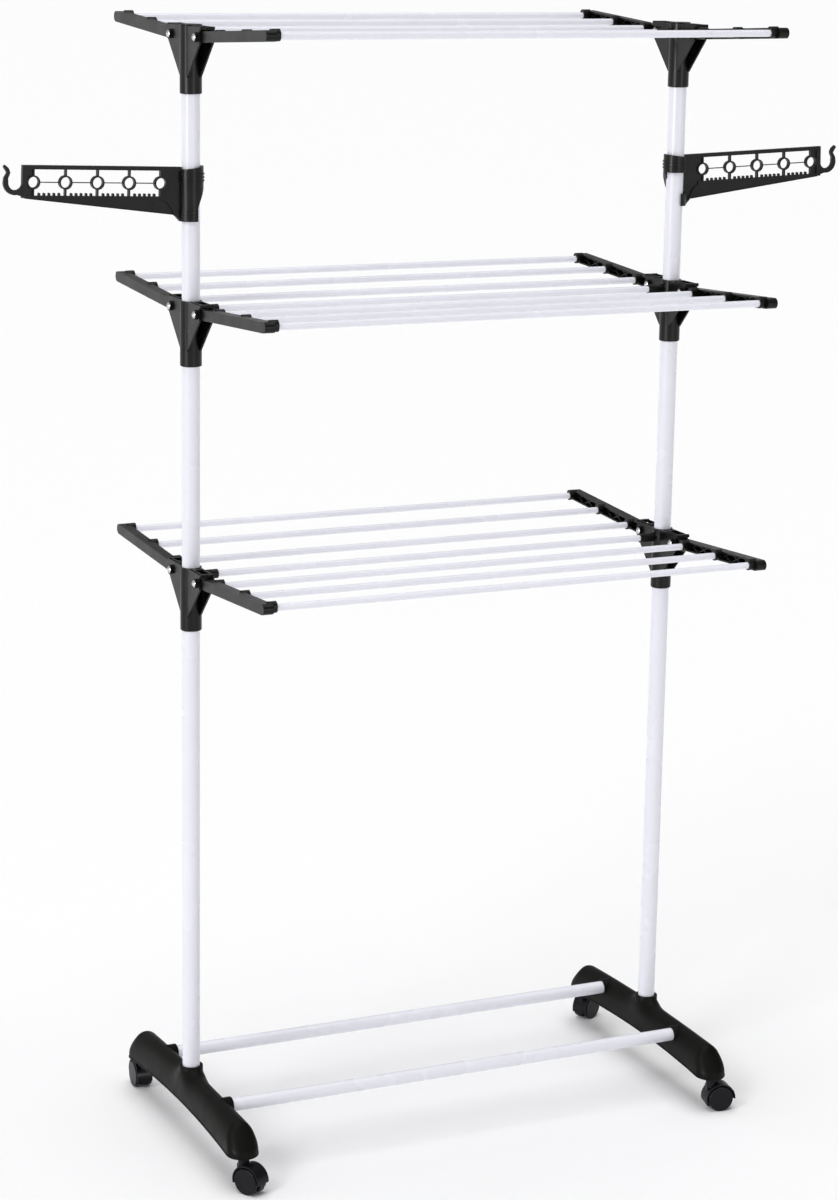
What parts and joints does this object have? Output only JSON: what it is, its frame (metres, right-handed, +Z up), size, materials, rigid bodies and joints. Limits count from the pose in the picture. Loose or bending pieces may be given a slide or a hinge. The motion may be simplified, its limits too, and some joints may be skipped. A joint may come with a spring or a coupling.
{
  "type": "clothes drying rack",
  "caption": "Rolling tiered clothes drying rack: two posts on castored feet carry folding wings of rods and swivelling side hangers.",
  "frame": {"origin": "on the floor under the middle of the rack, midway between the posts", "axes": "+X to the rack's right, -Y to its front, +Z up"},
  "size_m": [1.2828, 0.5672, 1.5946],
  "materials": {
    "white_tube": "white powder coat, semi-gloss",
    "black_plastic": "satin moulded black",
    "castor_plastic": "satin moulded nylon, bluish black",
    "bright_steel": "bright zinc plate"
  },
  "bodies": {
    "frame": {"lower_posts": "white_tube", "middle_posts": "white_tube", "upper_posts": "white_tube", "base_bars": "white_tube", "centre_rods": "white_tube", "wing_pins": "bright_steel", "top_caps": "black_plastic", "castor_sockets": "black_plastic", "left_foot": "black_plastic", "right_foot": "black_plastic", "lower_left_coupler": "black_plastic", "lower_right_coupler": "black_plastic", "middle_left_coupler": "black_plastic", "middle_right_coupler": "black_plastic", "upper_left_coupler": "black_plastic", "upper_right_coupler": "black_plastic"},
    "lower_front_wing": {"lower_front_left_arm": "black_plastic", "lower_front_right_arm": "black_plastic", "lower_front_rods": "white_tube"},
    "lower_front_left_latch": {"lower_front_left_latch": "black_plastic"},
    "lower_front_right_latch": {"lower_front_right_latch": "black_plastic"},
    "lower_back_wing": {"lower_back_left_arm": "black_plastic", "lower_back_right_arm": "black_plastic", "lower_back_rods": "white_tube"},
    "lower_back_left_latch": {"lower_back_left_latch": "black_plastic"},
    "lower_back_right_latch": {"lower_back_right_latch": "black_plastic"},
    "middle_front_wing": {"middle_front_left_arm": "black_plastic", "middle_front_right_arm": "black_plastic", "middle_front_rods": "white_tube"},
    "middle_front_left_latch": {"middle_front_left_latch": "black_plastic"},
    "middle_front_right_latch": {"middle_front_right_latch": "black_plastic"},
    "middle_back_wing": {"middle_back_left_arm": "black_plastic", "middle_back_right_arm": "black_plastic", "middle_back_rods": "white_tube"},
    "middle_back_left_latch": {"middle_back_left_latch": "black_plastic"},
    "middle_back_right_latch": {"middle_back_right_latch": "black_plastic"},
    "upper_front_wing": {"upper_front_left_arm": "black_plastic", "upper_front_right_arm": "black_plastic", "upper_front_rods": "white_tube"},
    "upper_front_left_latch": {"upper_front_left_latch": "black_plastic"},
    "upper_front_right_latch": {"upper_front_right_latch": "black_plastic"},
    "upper_back_wing": {"upper_back_left_arm": "black_plastic", "upper_back_right_arm": "black_plastic", "upper_back_rods": "white_tube"},
    "upper_back_left_latch": {"upper_back_left_latch": "black_plastic"},
    "upper_back_right_latch": {"upper_back_right_latch": "black_plastic"},
    "left_side_hanger": {"left_side_hanger": "black_plastic"},
    "right_side_hanger": {"right_side_hanger": "black_plastic"},
    "front_left_castor": {"front_left_castor_hood": "castor_plastic", "front_left_castor_steel": "bright_steel"},
    "front_left_castor_roll": {"front_left_castor_wheels": "castor_plastic"},
    "back_left_castor": {"back_left_castor_hood": "castor_plastic", "back_left_castor_steel": "bright_steel"},
    "back_left_castor_roll": {"back_left_castor_wheels": "castor_plastic"},
    "front_right_castor": {"front_right_castor_hood": "castor_plastic", "front_right_castor_steel": "bright_steel"},
    "front_right_castor_roll": {"front_right_castor_wheels": "castor_plastic"},
    "back_right_castor": {"back_right_castor_hood": "castor_plastic", "back_right_castor_steel": "bright_steel"},
    "back_right_castor_roll": {"back_right_castor_wheels": "castor_plastic"}
  },
  "joints": [
    {"name": "lower_front_wing_fold", "type": "hinge", "parent": "frame", "child": "lower_front_wing", "pos_m": [0, -0.048, 0.834], "axis": [1, 0, 0], "range_deg": [0, 93]},
    {"name": "lower_front_left_latch_slide", "type": "slide", "parent": "frame", "child": "lower_front_left_latch", "axis": [0, -1, 0], "range_m": [0, 0.008]},
    {"name": "lower_front_right_latch_slide", "type": "slide", "parent": "frame", "child": "lower_front_right_latch", "axis": [0, -1, 0], "range_m": [0, 0.008]},
    {"name": "lower_back_wing_fold", "type": "hinge", "parent": "frame", "child": "lower_back_wing", "pos_m": [0, 0.048, 0.834], "axis": [-1, 0, 0], "range_deg": [0, 93]},
    {"name": "lower_back_left_latch_slide", "type": "slide", "parent": "frame", "child": "lower_back_left_latch", "axis": [0, 1, 0], "range_m": [0, 0.008]},
    {"name": "lower_back_right_latch_slide", "type": "slide", "parent": "frame", "child": "lower_back_right_latch", "axis": [0, 1, 0], "range_m": [0, 0.008]},
    {"name": "middle_front_wing_fold", "type": "hinge", "parent": "frame", "child": "middle_front_wing", "pos_m": [0, -0.048, 1.205], "axis": [1, 0, 0], "range_deg": [0, 93]},
    {"name": "middle_front_left_latch_slide", "type": "slide", "parent": "frame", "child": "middle_front_left_latch", "axis": [0, -1, 0], "range_m": [0, 0.008]},
    {"name": "middle_front_right_latch_slide", "type": "slide", "parent": "frame", "child": "middle_front_right_latch", "axis": [0, -1, 0], "range_m": [0, 0.008]},
    {"name": "middle_back_wing_fold", "type": "hinge", "parent": "frame", "child": "middle_back_wing", "pos_m": [0, 0.048, 1.205], "axis": [-1, 0, 0], "range_deg": [0, 93]},
    {"name": "middle_back_left_latch_slide", "type": "slide", "parent": "frame", "child": "middle_back_left_latch", "axis": [0, 1, 0], "range_m": [0, 0.008]},
    {"name": "middle_back_right_latch_slide", "type": "slide", "parent": "frame", "child": "middle_back_right_latch", "axis": [0, 1, 0], "range_m": [0, 0.008]},
    {"name": "upper_front_wing_fold", "type": "hinge", "parent": "frame", "child": "upper_front_wing", "pos_m": [0, -0.048, 1.573], "axis": [1, 0, 0], "range_deg": [0, 93]},
    {"name": "upper_front_left_latch_slide", "type": "slide", "parent": "frame", "child": "upper_front_left_latch", "axis": [0, -1, 0], "range_m": [0, 0.008]},
    {"name": "upper_front_right_latch_slide", "type": "slide", "parent": "frame", "child": "upper_front_right_latch", "axis": [0, -1, 0], "range_m": [0, 0.008]},
    {"name": "upper_back_wing_fold", "type": "hinge", "parent": "frame", "child": "upper_back_wing", "pos_m": [0, 0.048, 1.573], "axis": [-1, 0, 0], "range_deg": [0, 93]},
    {"name": "upper_back_left_latch_slide", "type": "slide", "parent": "frame", "child": "upper_back_left_latch", "axis": [0, 1, 0], "range_m": [0, 0.008]},
    {"name": "upper_back_right_latch_slide", "type": "slide", "parent": "frame", "child": "upper_back_right_latch", "axis": [0, 1, 0], "range_m": [0, 0.008]},
    {"name": "left_side_hanger_swivel", "type": "hinge", "parent": "frame", "child": "left_side_hanger", "pos_m": [-0.375, 0, 1.376], "axis": [0, 0, 1], "range_deg": [-70, 70]},
    {"name": "right_side_hanger_swivel", "type": "hinge", "parent": "frame", "child": "right_side_hanger", "pos_m": [0.375, 0, 1.376], "axis": [0, 0, 1], "range_deg": [-70, 70]},
    {"name": "front_left_castor_swivel", "type": "hinge", "parent": "frame", "child": "front_left_castor", "pos_m": [-0.375, -0.203, 0.05], "axis": [0, 0, 1], "continuous": true},
    {"name": "front_left_castor_wheel_roll", "type": "hinge", "parent": "front_left_castor", "child": "front_left_castor_roll", "pos_m": [-0.369, -0.21339, 0.019], "axis": [0.866, 0.5, 0], "continuous": true},
    {"name": "back_left_castor_swivel", "type": "hinge", "parent": "frame", "child": "back_left_castor", "pos_m": [-0.375, 0.203, 0.05], "axis": [0, 0, 1], "continuous": true},
    {"name": "back_left_castor_wheel_roll", "type": "hinge", "parent": "back_left_castor", "child": "back_left_castor_roll", "pos_m": [-0.37437, 0.21498, 0.019], "axis": [-0.9986, 0.0523, 0], "continuous": true},
    {"name": "front_right_castor_swivel", "type": "hinge", "parent": "frame", "child": "front_right_castor", "pos_m": [0.375, -0.203, 0.05], "axis": [0, 0, 1], "continuous": true},
    {"name": "front_right_castor_wheel_roll", "type": "hinge", "parent": "front_right_castor", "child": "front_right_castor_roll", "pos_m": [0.38682, -0.20508, 0.019], "axis": [0.1736, 0.9848, 0], "continuous": true},
    {"name": "back_right_castor_swivel", "type": "hinge", "parent": "frame", "child": "back_right_castor", "pos_m": [0.375, 0.203, 0.05], "axis": [0, 0, 1], "continuous": true},
    {"name": "back_right_castor_wheel_roll", "type": "hinge", "parent": "back_right_castor", "child": "back_right_castor_roll", "pos_m": [0.3856, 0.20863, 0.019], "axis": [-0.4695, 0.8829, 0], "continuous": true}
  ]
}
